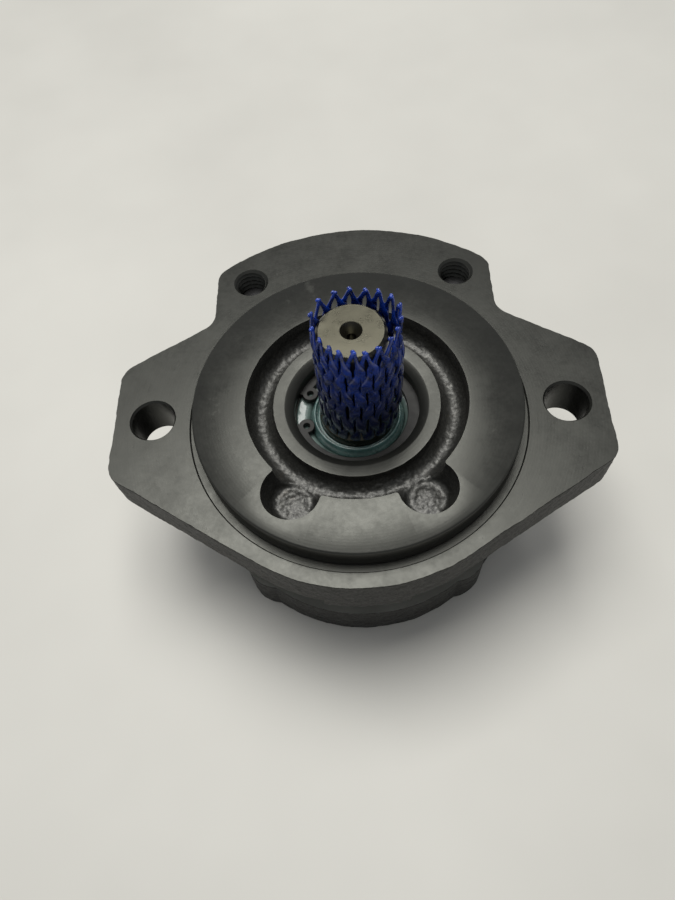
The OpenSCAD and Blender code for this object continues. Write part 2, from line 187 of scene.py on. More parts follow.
def flange_outline():
    ear_cy = (FLANGE_R - EAR_FR - math.cos(EAR_A) * (EAR_HALF - EAR_FR)) / math.sin(EAR_A)
    notch = (FLANGE_R + EAR_FR - math.cos(EAR_A) * (HEAD_HW + EAR_FR)) / math.sin(EAR_A)
    h = arc(0, 0, FLANGE_R, -math.pi / 2, -EAR_A) + arc(EAR_HALF - EAR_FR, -ear_cy, EAR_FR, -EAR_A, 0)
    h += arc(EAR_HALF - EAR_FR, ear_cy, EAR_FR, 0, EAR_A) + arc(HEAD_HW + EAR_FR, notch, EAR_FR, math.pi + EAR_A, math.pi)
    return mirror(h + head_pts(HEAD_HW, HEAD_R, HEAD_FR))


def body_outline(r, hw, hr, lug):
    """Casing outline with its two screw lugs, as the outer edge of the union."""
    from math import acos
    h = arc(0, 0, r, -math.pi / 2, acos(hw / r)) + head_pts(hw, hr, HEAD_FR - (HEAD_HW - hw))
    pts = resample(mirror(h), 0.3)
    # push the outline out to the lugs, seen from a centre inside
    out = []
    for x, y in pts:
        for s in (-1, 1):
            cx, cy = s * LOW[0], LOW[1]
            d = math.hypot(x, y)
            ux, uy = x / d, y / d
            b = ux * cx + uy * cy
            q = b * b - (cx * cx + cy * cy - lug * lug)
            if q > 0 and y < 0:
                t = b + math.sqrt(q)
                if t > d:
                    x, y = ux * t, uy * t
        out.append((x, y))
    return resample(out, 0.35)


def normals2(p):
    d = np.roll(p, -1, 0) - np.roll(p, 1, 0)
    n = np.c_[d[:, 1], -d[:, 0]]
    return n / np.linalg.norm(n, axis=1)[:, None]


def slab(outline, levels, rough, seed, amp_fn=None, cap_top_inset=0.0):
    """A closed slab: the outline at each z level, moved along its outward normal. levels is [(z, offset)...] from the top down. rough(points) gives the cast roughness in mm."""
    n2 = normals2(outline)
    rows = []
    for z, off in levels:
        p = np.c_[outline + n2 * off, np.full(len(outline), z)]
        d = rough(p, seed)
        if amp_fn is not None:
            d = d * amp_fn(z)
        p[:, :2] += n2 * d[:, None]
        rows.append(p)
    co = np.concatenate(rows)
    m = len(outline)
    faces = grid_faces(len(levels), m, True, False, flip=True)
    faces.append(tuple(range(m)))                                   # top, facing up
    faces.append(tuple((len(levels) - 1) * m + i for i in reversed(range(m))))
    return co, faces


def boolean(a, b, op="DIFFERENCE", solver="MANIFOLD"):
    m = a.modifiers.new("b", "BOOLEAN")
    m.operation, m.object, m.solver = op, b, solver
    if hasattr(m, "material_mode"):
        m.material_mode = "TRANSFER"
    dg = bpy.context.evaluated_depsgraph_get()
    me = bpy.data.meshes.new_from_object(a.evaluated_get(dg))
    a.modifiers.clear()
    old = a.data
    a.data = me
    bpy.data.meshes.remove(old)
    bd = b.data
    bpy.data.objects.remove(b)
    bpy.data.meshes.remove(bd)
    if len(me.polygons) == 0:
        raise RuntimeError("boolean left nothing: " + a.name)
    return a


def obj_arrays(o):
    me = o.data
    co = np.zeros(len(me.vertices) * 3, np.float32)
    me.vertices.foreach_get("co", co)
    return co.reshape(-1, 3).astype(float)


def set_co(o, co):
    o.data.vertices.foreach_set("co", np.asarray(co, np.float32).ravel())
    o.data.update()


def vertex_normals(o):
    n = np.zeros(len(o.data.vertices) * 3, np.float32)
    o.data.vertex_normals.foreach_get("vector", n)
    return n.reshape(-1, 3).astype(float)


def remesh(o, voxel):
    m = o.modifiers.new("r", "REMESH")
    m.mode, m.voxel_size, m.adaptivity = "VOXEL", voxel, 0
    dg = bpy.context.evaluated_depsgraph_get()
    me = bpy.data.meshes.new_from_object(o.evaluated_get(dg))
    o.modifiers.clear()
    old = o.data
    o.data = me
    bpy.data.meshes.remove(old)
    return o


def relax(o, times, factor=0.5):
    """Plain Laplacian smoothing."""
    me = o.data
    e = np.zeros(len(me.edges) * 2, np.int32)
    me.edges.foreach_get("vertices", e)
    e = e.reshape(-1, 2)
    co = obj_arrays(o)
    deg = np.bincount(e.ravel(), minlength=len(co)).astype(float)[:, None]
    for _ in range(times):
        s = np.zeros_like(co)
        for k in range(3):
            s[:, k] = np.bincount(e[:, 0], co[e[:, 1], k], len(co)) + np.bincount(e[:, 1], co[e[:, 0], k], len(co))
        co = co + factor * (s / np.maximum(deg, 1) - co)
    set_co(o, co)
    return o


def finish_piece(o, name, body, angle=35, replaces=()):
    """mm to metres, edges by angle, and riding on its body."""
    o.name = name
    o.data.name = name
    o.data.transform(Matrix.Scale(MM, 4))
    nz = np.zeros(len(o.data.polygons) * 3, np.float32)
    o.data.polygons.foreach_get("normal", nz)
    o.data.polygons.foreach_set("use_smooth", (np.abs(nz.reshape(-1, 3)[:, 2]) < 0.99995).tolist())
    o.data.update()
    if angle:
        o.data.set_sharp_from_angle(angle=math.radians(angle))
    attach(o, body)
    if replaces:
        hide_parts(*replaces)
    return o


# ------------------------------------------------------------------ materials
class T:
    """Small helper round a material's node tree."""

    def __init__(self, name):
        self.m = bpy.data.materials.new(name)
        self.m.use_nodes = True
        self.nt = self.m.node_tree
        self.nt.nodes.clear()
        self.out = self.nt.nodes.new("ShaderNodeOutputMaterial")
        self.b = self.nt.nodes.new("ShaderNodeBsdfPrincipled")
        self.nt.links.new(self.b.outputs[0], self.out.inputs[0])
        tc = self.nt.nodes.new("ShaderNodeTexCoord")
        self.obj = tc.outputs["Object"]

    def link(self, a, b):
        self.nt.links.new(a, b)

    def node(self, kind, **kw):
        n = self.nt.nodes.new(kind)
        for k, v in kw.items():
            setattr(n, k, v)
        return n

    def scaled(self, s, vec=None):
        n = self.node("ShaderNodeMapping")
        n.inputs["Scale"].default_value = s if hasattr(s, "__len__") else (s, s, s)
        self.link(vec or self.obj, n.inputs["Vector"])
        return n.outputs[0]

    def noise(self, scale, detail=3.0, rough=0.5, vec=None, out="Fac", dist=0.0):
        n = self.node("ShaderNodeTexNoise")
        n.inputs["Scale"].default_value = scale
        n.inputs["Detail"].default_value = detail
        n.inputs["Roughness"].default_value = rough
        n.inputs["Distortion"].default_value = dist
        self.link(vec or self.obj, n.inputs["Vector"])
        return n.outputs[out]

    def voronoi(self, scale, vec=None, feature="F1", out="Distance"):
        n = self.node("ShaderNodeTexVoronoi", feature=feature)
        n.inputs["Scale"].default_value = scale
        self.link(vec or self.obj, n.inputs["Vector"])
        return n.outputs[out]

    def ramp(self, fac, stops, interp="LINEAR"):
        n = self.node("ShaderNodeValToRGB")
        n.color_ramp.interpolation = interp
        e = n.color_ramp.elements
        while len(e) < len(stops):
            e.new(0.5)
        for el, (p, c) in zip(e, stops):
            el.position = p
            el.color = (c, c, c, 1) if not hasattr(c, "__len__") else (*c, 1)
        self.link(fac, n.inputs[0])
        return n.outputs[0]

    def math(self, op, a, b=None, c=None, clamp=False):
        n = self.node("ShaderNodeMath", operation=op, use_clamp=clamp)
        for i, v in enumerate((a, b, c)):
            if v is None:
                continue
            if isinstance(v, (int, float)):
                n.inputs[i].default_value = v
            else:
                self.link(v, n.inputs[i])
        return n.outputs[0]

    def mix(self, fac, a, b, blend="MIX"):
        n = self.node("ShaderNodeMix", data_type="RGBA", blend_type=blend)
        for s, v in ((n.inputs[0], fac), (n.inputs[6], a), (n.inputs[7], b)):
            if isinstance(v, (int, float)):
                s.default_value = v
            elif hasattr(v, "__len__"):
                s.default_value = (*v, 1)
            else:
                self.link(v, s)
        return n.outputs[2]

    def map(self, v, a0, a1, b0, b1, clamp=True):
        n = self.node("ShaderNodeMapRange", clamp=clamp)
        self.link(v, n.inputs[0])
        for i, x in enumerate((a0, a1, b0, b1)):
            n.inputs[i + 1].default_value = x
        return n.outputs[0]

    def bump(self, height, strength, distance, normal=None):
        n = self.node("ShaderNodeBump")
        n.inputs["Strength"].default_value = strength
        n.inputs["Distance"].default_value = distance
        self.link(height, n.inputs["Height"])
        if normal is not None:
            self.link(normal, n.inputs["Normal"])
        return n.outputs[0]

    def xyz(self, vec=None):
        n = self.node("ShaderNodeSeparateXYZ")
        self.link(vec or self.obj, n.inputs[0])
        return n.outputs

    def radius(self, cx=0.0, cy=0.0):
        x, y, z = self.xyz()
        dx = self.math("SUBTRACT", x, cx)
        dy = self.math("SUBTRACT", y, cy)
        return self.math("SQRT", self.math("ADD", self.math("MULTIPLY", dx, dx), self.math("MULTIPLY", dy, dy)))

    def set(self, **kw):
        for k, v in kw.items():
            s = self.b.inputs[k.replace("_", " ")]
            if isinstance(v, (int, float)):
                s.default_value = v
            elif hasattr(v, "__len__"):
                s.default_value = (*v, 1) if len(v) == 3 and s.type == "RGBA" else v
            else:
                self.link(v, s)
        return self


def machined_iron(name, base=(0.056, 0.057, 0.051), rough=0.34, turned=True, centre=(0, 0), metal=0.75, dark=0.72):
    """Machined grey iron with a thin dark oil and phosphate film."""
    t = T(name)
    big = t.noise(28, 3, 0.55)
    fine = t.noise(900, 3, 0.6)
    mid = t.noise(160, 4, 0.6)
    col = t.mix(t.ramp(big, [(0.35, 0), (0.68, 1)]), tuple(c * dark for c in base), base)
    col = t.mix(t.ramp(mid, [(0.3, 0), (0.75, 1)]), tuple(c * 0.84 for c in base), col, "MIX")
    # small dark pores and pale scuffs
    pores = t.ramp(t.voronoi(420), [(0.0, 1), (0.085, 0)])
    col = t.mix(t.math("MULTIPLY", pores, 0.5), col, tuple(c * 0.4 for c in base))
    spots = t.noise(75, 5, 0.72)
    scuff = t.ramp(spots, [(0.66, 0), (0.74, 1)])
    col = t.mix(t.math("MULTIPLY", scuff, 0.35), col, tuple(min(1, c * 2.2) for c in base))
    r = t.map(mid, 0.25, 0.75, rough - 0.05, rough + 0.07)
    r = t.math("ADD", r, t.math("MULTIPLY", scuff, 0.12))
    r = t.math("ADD", r, t.map(fine, 0.3, 0.7, -0.035, 0.035))
    nrm = t.bump(fine, 0.16, 0.00005)
    nrm = t.bump(pores, 0.25, -0.00006, nrm)
    if turned:
        rad = t.radius(*centre)
        wob = t.noise(45, 2, 0.5)
        ph = t.math("ADD", t.math("MULTIPLY", rad, 8200), t.math("MULTIPLY", wob, 2.0))
        rings = t.math("SINE", ph)
        rings2 = t.math("SINE", t.math("MULTIPLY", rad, 3100))
        g = t.math("ADD", t.math("MULTIPLY", rings, 0.5), t.math("MULTIPLY", rings2, 0.5))
        nrm = t.bump(g, 0.045, 0.00003, nrm)
    t.set(Base_Color=col, Metallic=metal, Roughness=r, Normal=nrm)
    return t.m


def cast_iron(name, base=(0.050, 0.050, 0.045), rough=0.50, metal=0.55, coat=0.25, grain=1.0):
    """As-cast grey iron: sand grain, oily sheen on the high spots."""
    t = T(name)
    big = t.noise(60, 4, 0.6)
    g1 = t.noise(1700 / grain, 5, 0.62)
    g2 = t.noise(2600 / grain, 3, 0.6)
    v = t.voronoi(1900 / grain, feature="SMOOTH_F1")
    col = t.mix(t.ramp(big, [(0.3, 0), (0.7, 1)]), tuple(c * 0.88 for c in base), tuple(c * 1.10 for c in base))
    col = t.mix(t.ramp(g1, [(0.40, 0), (0.62, 1)]), tuple(c * 0.45 for c in base), col)
    rust = t.ramp(t.noise(140, 4, 0.7), [(0.62, 0), (0.75, 1)])
    col = t.mix(t.math("MULTIPLY", rust, 0.25), col, (base[0] * 1.6, base[1] * 1.15, base[2] * 0.8))
    r = t.map(g1, 0.3, 0.7, rough + 0.10, rough - 0.14)
    nrm = t.bump(g1, 0.42, 0.00014)
    nrm = t.bump(v, 0.34, 0.00010, nrm)
    nrm = t.bump(g2, 0.30, 0.00008, nrm)
    t.set(Base_Color=col, Metallic=metal, Roughness=r, Normal=nrm, Coat_Weight=coat, Coat_Roughness=0.28)
    return t.m


def steel(name, base=(0.42, 0.39, 0.33), rough=0.32, metal=1.0, turn=9000, centre=(0, 0), bump=0.06, oil=0.0):
    t = T(name)
    n = t.noise(300, 4, 0.6)
    big = t.noise(90, 3, 0.6)
    col = t.mix(t.ramp(n, [(0.3, 0), (0.7, 1)]), tuple(c * 0.80 for c in base), base)
    col = t.mix(t.ramp(big, [(0.4, 0), (0.72, 0.5)]), col, tuple(c * 0.66 for c in base))
    r = t.map(n, 0.25, 0.75, rough - 0.06, rough + 0.10)
    rad = t.radius(*centre)
    g = t.math("SINE", t.math("MULTIPLY", rad, turn))
    nrm = t.bump(g, bump, 0.00003)
    nrm = t.bump(t.noise(1400, 3, 0.6), 0.15, 0.00004, nrm)
    t.set(Base_Color=col, Metallic=metal, Roughness=r, Normal=nrm, Coat_Weight=oil, Coat_Roughness=0.15)
    return t.m


M_MACH = machined_iron("machined_face", centre=(0, 0))
M_CAST = cast_iron("cast_surface", (0.052, 0.052, 0.047), rough=0.46, metal=0.65, coat=0.30)
# painted shade: the flange's walls, lower body and pad get a darker copy of the same cast iron as the recess, standing
# in for the shade on walls that face away from the lamp
M_SIDE_PAINTED_SHADE = cast_iron("cast_side_painted_shade", (0.020, 0.020, 0.0175), rough=0.64, metal=0.4, coat=0.06)
# partly a lighter machined face, partly painted light: the joint faces get a near-white base, far above the machined
# iron, so the ledge shaded under the flange reads as lit
M_JOINT_PAINTED_LIGHT = machined_iron("joint_face_painted_light", (0.50, 0.50, 0.45), rough=0.46, turned=False)

# ------------------------------------------------------------------ castings
def cast_rough(p, seed):
    return 0.16 * fbm(p, 7.0, 2, 0.5, seed) + 0.17 * fbm(p, 1.7, 3, 0.6, seed + 9)


def fillet_levels(z0, z1, top=0.0, bottom=1.2, step=0.45):
    """Levels from z0 down to z1 with a rounded lower edge."""
    lv = [(z0, -0.10 if top == 0 else -top)]
    if top:
        lv += [(z0 - top * (1 - math.cos(a)), -top * (1 - math.sin(a))) for a in (0.5, 1.0, math.pi / 2)]
    else:
        lv += [(z0 - 0.14, 0.0)]
    zb = z1 + bottom
    z = lv[-1][0]
    n = max(1, int((z - zb) / step))
    lv += [(z + (zb - z) * k / n, 0.0) for k in range(1, n + 1)]
    if bottom > 0:
        lv += [(zb - bottom * math.sin(a), -bottom * (1 - math.cos(a))) for a in (0.4, 0.8, 1.2, math.pi / 2)]
    return lv


def cutter(co, faces, mat, name="cut"):
    return make(name, co, faces, mat)


def cyl(r, z0, z1, centre, mat, segs=96, chamfer=None):
    """A closed turned cutter. chamfer=(z of the mouth, width, depth, direction) widens it at the mouth."""
    prof = [(0, z0), (r, z0)]
    if chamfer:
        zm, w, d, s = chamfer
        if s > 0:
            prof += [(r, zm - d), (r + w, zm), (r + w, z1), (0, z1)]
        else:
            prof = [(0, z0), (r + w, z0), (r + w, zm), (r, zm + d), (r, z1), (0, z1)]
    else:
        prof += [(r, z1), (0, z1)]
    co, f = lathe(prof, segs, centre=centre)
    return cutter(co, f, mat)


def threaded(r_in, r_out, z0, z1, pitch, centre, mat, segs=72, per=12, lead0=0.0, lead1=0.0, hand=1, flat_in=0.12, flat_out=0.10):
    """A closed rod with a helical V thread between r_in and r_out. lead0 and lead1 taper the ends to r_in."""
    nz = int((z1 - z0) / pitch * per) + 1
    z = np.linspace(z0, z1, nz)
    a = np.linspace(0, 2 * math.pi, segs, endpoint=False)
    zz, aa = np.meshgrid(z, a, indexing="ij")
    u = (zz / pitch - hand * aa / (2 * math.pi)) % 1.0
    tri = np.abs(u * 2 - 1)
    k = np.clip((tri - flat_in) / (1 - flat_in - flat_out), 0, 1)
    rr = r_in + (r_out - r_in) * k
    if lead0:
        rr = np.minimum(rr, r_in - 0.1 + (zz - z0) / lead0 * (r_out - r_in + 0.1))
    if lead1:
        rr = np.minimum(rr, r_in - 0.1 + (z1 - zz) / lead1 * (r_out - r_in + 0.1))
    co = np.c_[(centre[0] + rr * np.cos(aa)).ravel(), (centre[1] + rr * np.sin(aa)).ravel(), zz.ravel()]
    f = grid_faces(nz, segs)
    c0, c1 = len(co), len(co) + 1
    co = np.r_[co, [[centre[0], centre[1], z0], [centre[0], centre[1], z1]]]
    f += [(c0, (c + 1) % segs, c) for c in range(segs)]
    b = (nz - 1) * segs
    f += [(c1, b + c, b + (c + 1) % segs) for c in range(segs)]
    return co, f


def recess_cutter(mat):
    """The ring-shaped cast channel and its two pockets, blended together and given the sand-cast surface."""
    mid, hw = (TR_I + TR_O) / 2, (TR_O - TR_I) / 2
    r = hw - 0.25
    prof = [(TR_I, 9.0), (TR_I + 0.25, TR_Z + r)]
    prof += [(mid + r * math.cos(t), TR_Z + r + r * math.sin(t)) for t in np.linspace(math.radians(188), math.radians(352), 24)]
    prof += [(TR_O - 0.25, TR_Z + r), (TR_O, 9.0)]
    co, f = lathe(prof, 220, closed=True)
    a = make("recess", co, [q[::-1] for q in f], mat)
    for s in (-1, 1):
        p = [(0, -0.55), (2.2, -0.62), (3.9, -0.95)] + arc(3.9, 0.85, 1.8, -math.pi / 2, -0.25)[1:] + [(PK_R - 0.55, 3.2), (PK_R - 0.1, 4.6), (PK_R, 9.0), (0, 9.0)]
        co, f = lathe(p, 96, centre=(s * PK_X, PK_Y))
        boolean(a, make("pocket", co, f, mat), "UNION")
    remesh(a, 0.36)
    relax(a, 3)
    co, n = obj_arrays(a), vertex_normals(a)
    fade = np.clip((6.2 - co[:, 2]) / 4.0, 0.35, 1)
    d = 0.06 * fbm(co, 2.6, 2, 0.5, 40) + (0.12 + 0.05 * (co[:, 2] < 0.9) * (co[:, 1] < -19)) * fbm(co, 0.95, 2, 0.6, 44)
    set_co(a, co + n * (d * fade)[:, None])
    a.data.materials.clear()
    a.data.materials.append(mat)
    return a


# --- front cover: flange, pilot and lower body
outline = resample(flange_outline(), 0.42)
co, f = slab(outline, fillet_levels(0.0, -FLANGE_T, 0.0, 1.0), cast_rough, 3)
front = make("front", co, f, M_SIDE_PAINTED_SHADE)
front.data.materials.clear()
for m in (M_SIDE_PAINTED_SHADE, M_MACH):
    front.data.materials.append(m)
mi = [0] * len(front.data.polygons)
mi[-2] = 1
front.data.polygons.foreach_set("material_index", mi)
front.data.polygons[-2].use_smooth = False

# relief at the foot of the pilot
co, f = lathe([(0, -0.5), (PILOT_R + 1.75, -0.5), (PILOT_R + 2.1, -0.15), (PILOT_R + 2.1, 3.0), (0, 3.0)], 480)
boolean(front, cutter(co, f, M_MACH))
co, f = lathe([(0, -3.0), (PILOT_R - 0.15, -3.0), (PILOT_R - 0.15, 0.25), (PILOT_R, 0.4), (PILOT_R, PILOT_H - 0.45), (PILOT_R - 0.12, PILOT_H - 0.2), (PILOT_R - 0.45, PILOT_H), (0, PILOT_H)], 480)
boolean(front, cutter(co, f, M_MACH), "UNION")

# lower body under the flange, and the pad under its front edge
low = body_outline(39.0, HEAD_HW - 1, HEAD_R - 1, 7.0)
co, f = slab(low, [(-FLANGE_T + 2, 0)] + fillet_levels(-FLANGE_T + 1, JOINT_F, 0.0, 0.35), cast_rough, 11)
boolean(front, cutter(co, f, M_SIDE_PAINTED_SHADE), "UNION")
pad = resample([(11.5, -30), (-10, -30)] + arc(0, 0, FLANGE_R - 0.3, math.radians(257.8), math.radians(284.2)), 0.4)
if np.sum(pad[:, 0] * np.roll(pad[:, 1], -1) - pad[:, 1] * np.roll(pad[:, 0], -1)) < 0:
    pad = pad[::-1]
co, f = slab(pad, fillet_levels(-11.0, -16.0, 0.0, 0.9), cast_rough, 17)
boolean(front, cutter(co, f, M_SIDE_PAINTED_SHADE), "UNION")

# cast recess, then the machined hub, bores and holes
boolean(front, recess_cutter(M_CAST))
sb = 15.9
prof = [(0, JOINT_F - 1), (11.1, JOINT_F - 1), (11.1, -8.2), (sb, -8.2), (sb, -1.65), (16.75, -1.6), (16.75, 0.0), (sb, 0.05), (sb, 2.58),
        (sb + 0.10, 2.72), (18.0, HUB_Z - 0.05), (18.3, HUB_Z), (TR_I + 1.4, HUB_Z + 0.1), (TR_I + 1.4, 9), (0, 9)]
co, f = lathe(prof, 360)
boolean(front, cutter(co, f, M_MACH))
boolean(front, cyl(11.1, JOINT_F - 1, -8.0, (0, 34.0), M_MACH))
for s in (-1, 1):
    c = (s * EAR_X, 0)
    co, f = lathe([(0, -20), (EAR_HOLE_R, -20), (EAR_HOLE_R, -0.6), (EAR_HOLE_R + 0.45, -0.05), (EAR_HOLE_R + 0.75, 0.4), (0, 0.4)], 128, centre=c)
    boolean(front, cutter(co, f, M_MACH))
    c = (s * UP[0], UP[1])
    co, f = threaded(4.05, 4.78, -20.0, 2.0, 1.5875, c, M_MACH, segs=96, per=14)
    boolean(front, cutter(co, f, M_MACH))
    co, f = lathe([(0, -0.75), (4.15, -0.75), (5.35, 0.35), (5.35, 1.0), (0, 1.0)], 96, centre=c)
    boolean(front, cutter(co, f, M_MACH))
    co, f = threaded(4.05, 4.78, -20.0, -5.0, 1.5875, (s * LOW[0], LOW[1]), M_MACH, segs=72, per=10)
    boolean(front, cutter(co, f, M_MACH))

# --- gear housing
def track_cut(o, z0, z1, ri, ro, mat):
    """Body seal groove: a ring that follows both gears."""
    def eight_pts(r):
        return arc(0, 0, r, math.pi, 2 * math.pi, 0.6) + arc(0, 34.0, r, 0, math.pi, 0.6)
    outer, inner = resample(eight_pts(ro), 0.8), resample(eight_pts(ri), 0.8)
    n = min(len(outer), len(inner))
    def even(p):
        k = np.linspace(0, len(p), n, endpoint=False)
        i = np.floor(k).astype(int)
        f = (k - i)[:, None]
        return p[i % len(p)] * (1 - f) + p[(i + 1) % len(p)] * f
    outer, inner = even(outer), even(inner)
    co = np.concatenate([np.c_[q, np.full(n, z)] for q, z in ((outer, z0), (outer, z1), (inner, z1), (inner, z0))])
    boolean(o, cutter(co, grid_faces(4, n, True, True), mat))


def rod(o, r, z0, z1, c, mat, chamfer=None, segs=96):
    boolean(o, cyl(r, z0, z1, c, mat, segs, chamfer))


screws = [(s * p[0], p[1]) for p in (UP, LOW) for s in (-1, 1)]
dowels = [(-31.5, 12.0), (31.5, 12.0)]
GEARS = [(0, 0), (0, 34.0)]

# what the front casting needs at its joint face
track_cut(front, JOINT_F - 1, JOINT_F + 1.5, 23.45, 25.55, M_MACH)
for c in dowels:
    rod(front, 2.52, JOINT_F - 1, JOINT_F + 7.2, c, M_MACH, segs=48)
finish_piece(front, "front_casting", "pump_body", 38, ["front_cover"])
M_HOUS = cast_iron("cast_housing", (0.030, 0.030, 0.027), rough=0.60, metal=0.4, coat=0.08)
M_REAR = cast_iron("cast_rear", (0.026, 0.026, 0.023), rough=0.62, metal=0.4, coat=0.06)

low = body_outline(39.0, HEAD_HW - 1, HEAD_R - 1, 7.0)
co, f = slab(low, fillet_levels(JOINT_F, JOINT_R, 0.3, 0.3), cast_rough, 23)
hous = make("housing", co, f, M_HOUS)
for c in GEARS:
    rod(hous, 20.3, JOINT_R - 1, JOINT_F + 1, c, M_MACH, segs=240)
rod(hous, 8.6, JOINT_R - 1, JOINT_R + 19, INLET, M_MACH)
rod(hous, 6.6, JOINT_R - 1, JOINT_R + 19, OUTLET, M_MACH)
for c in screws:
    rod(hous, 4.95, JOINT_R - 1, JOINT_F + 1, c, M_MACH)
for c in dowels:
    rod(hous, 2.52, JOINT_R - 1, JOINT_F + 1, c, M_MACH, segs=48)
finish_piece(hous, "housing_casting", "pump_body", 38, ["gear_housing"])

# --- rear cover
out = body_outline(43.0, HEAD_HW, HEAD_R, 9.0)
co, f = slab(out, fillet_levels(JOINT_R, BACK, 0.0, 1.3), cast_rough, 31)
rear = make("rear", co, f, M_REAR)
rear.data.materials.clear()
# both caps take the joint-face material with its painted light
for m in (M_REAR, M_JOINT_PAINTED_LIGHT):
    rear.data.materials.append(m)
mi = [0] * len(rear.data.polygons)
mi[-1] = mi[-2] = 1
rear.data.polygons.foreach_set("material_index", mi)
for c in GEARS:
    rod(rear, 11.1, JOINT_R - 11.2, JOINT_R + 1, c, M_MACH, segs=128)
for c in screws:
    rod(rear, 4.95, BACK - 1, JOINT_R + 1, c, M_MACH)
    co, f = lathe([(0, BACK - 1), (7.85, BACK - 1), (7.85, BACK), (7.5, BACK + 0.4), (7.5, BACK + 10.2), (0, BACK + 10.2)], 96, centre=c)
    boolean(rear, cutter(co, f, M_MACH))
for c, r, big, thread, pitch in ((INLET, INLET_R, 7.0, 9.5, 1.5875), (OUTLET, OUTLET_R, 5.0, 7.12, 1.411)):
    co, f = threaded(r, thread, BACK - 1, BACK + 10.5, pitch, c, M_MACH, segs=128, per=12)
    boolean(rear, cutter(co, f, M_MACH))
    rod(rear, big, BACK + 9, JOINT_R + 2, c, M_MACH)
    co, f = lathe([(0, BACK - 1), (r + 5.2, BACK - 1), (r + 5.2, BACK + 0.35), (r + 1.6, BACK + 0.35), (r + 1.5, BACK + 0.4), (r - 0.1, BACK + 2.6), (0, BACK + 2.6)], 160, centre=c)
    boolean(rear, cutter(co, f, M_MACH))
for c in dowels:
    rod(rear, 2.52, JOINT_R - 7.2, JOINT_R + 3, c, M_MACH, segs=48)
track_cut(rear, JOINT_R - 1.5, JOINT_R + 1, 23.45, 25.55, M_MACH)
finish_piece(rear, "rear_casting", "pump_body", 38, ["rear_cover"])

# --- cap screws
M_SCREW = steel("screw_black_oxide", (0.050, 0.050, 0.052), 0.38, 0.85, turn=7000, oil=0.25)


def cap_screw(c, tip):
    under = tip - 33.4
    segs = 72
    prof = [(0, under - 9.5), (4.2, under - 9.5), (5.9, under - 9.5), (6.6, under - 9.2), (6.95, under - 8.7)]
    prof += [(6.95, under - 8.7 + (8.4) * k / 24) for k in range(1, 25)]
    prof += [(6.85, under), (4.7, under), (4.7, tip - 16.0), (4.55, tip - 15.2), (3.6, tip - 15.0), (3.6, tip - 4), (0, tip - 4)]
    co, f = lathe(prof, 144, centre=c)
    co = np.array(co)
    a = np.arctan2(co[:, 1] - c[1], co[:, 0] - c[0])
    d = np.hypot(co[:, 1] - c[1], co[:, 0] - c[0])
    side = (np.abs(d - 6.95) < 0.02) & (co[:, 2] > under - 8.4) & (co[:, 2] < under - 0.5)
    k = 1 - 0.022 * (0.5 + 0.5 * np.cos(a * 36)) * side
    co[:, 0] = c[0] + (co[:, 0] - c[0]) * k
    co[:, 1] = c[1] + (co[:, 1] - c[1]) * k
    o = make("screw", co, f, M_SCREW)
    co, f = threaded(3.78, 4.70, tip - 16.5, tip, 1.5875, c, M_SCREW, segs=72, per=12, lead0=1.4, lead1=0.9)
    boolean(o, make("t", co, f, M_SCREW), "UNION")
    hexa = [(c[0] + 4.58 * math.cos(math.radians(60 * i + 12)), c[1] + 4.58 * math.sin(math.radians(60 * i + 12))) for i in range(6)]
    co = np.array([(x, y, under - 10) for x, y in hexa] + [(x, y, under - 4.9) for x, y in hexa] + [(c[0], c[1], under - 3.6)])
    f = [tuple(reversed(range(6)))] + [(i, (i + 1) % 6, 6 + (i + 1) % 6, 6 + i) for i in range(6)] + [(6 + i, 6 + (i + 1) % 6, 12) for i in range(6)]
    boolean(o, make("h", co, f, M_SCREW))
    co, f = lathe([(0, under - 10), (5.1, under - 10), (5.1, under - 9.5), (4.2, under - 9.0), (0, under - 9.0)], 48, centre=c)
    boolean(o, make("h", co, f, M_SCREW))
    return o


for i, c in enumerate(screws):
    o = cap_screw(c, -6.4)
    finish_piece(o, "cap_screw_%d" % (i + 1), "pump_body", 30, ["cap_screws"])

# --- shaft seal and its retaining ring
def seal_material(name, base, rough, coat):
    t = T(name)
    n = t.noise(260, 4, 0.65)
    dirt = t.noise(520, 4, 0.7)
    col = t.mix(t.ramp(n, [(0.35, 0), (0.65, 1)]), tuple(c * 0.55 for c in base), base)
    col = t.mix(t.ramp(dirt, [(0.58, 0), (0.70, 1)]), col, tuple(c * 0.25 for c in base))
    nrm = t.bump(t.noise(700, 4, 0.65), 0.5, 0.00018)
    nrm = t.bump(n, 0.35, 0.0004, nrm)
    t.set(Base_Color=col, Roughness=t.map(n, 0.3, 0.7, rough, rough + 0.2), Normal=nrm, Coat_Weight=coat, Coat_Roughness=0.06)
    return t.m


M_SEAL = seal_material("seal_case_green", (0.14, 0.20, 0.183), 0.30, 0.8)
M_LIP = seal_material("seal_lip_green", (0.085, 0.170, 0.160), 0.16, 1.0)

prof = arc(15.45, -2.15, 0.42, 0, math.pi / 2, 0.15) + [(14.6, -1.78), (13.6, -1.86), (12.9, -2.0), (12.5, -2.35), (12.2, -2.9), (12.2, -8.15), (15.87, -8.15)]
co, f = lathe(densify(prof, 0.25), 360, closed=True)
o = make("case", co, f, M_SEAL)
co = obj_arrays(o)
set_co(o, co + vertex_normals(o) * (0.05 * fbm(co, 2.2, 2, 0.5, 71))[:, None] * (co[:, 2:] > -3.5))
finish_piece(o, "seal_case", "pump_body", 50, ["shaft_seal_case"])

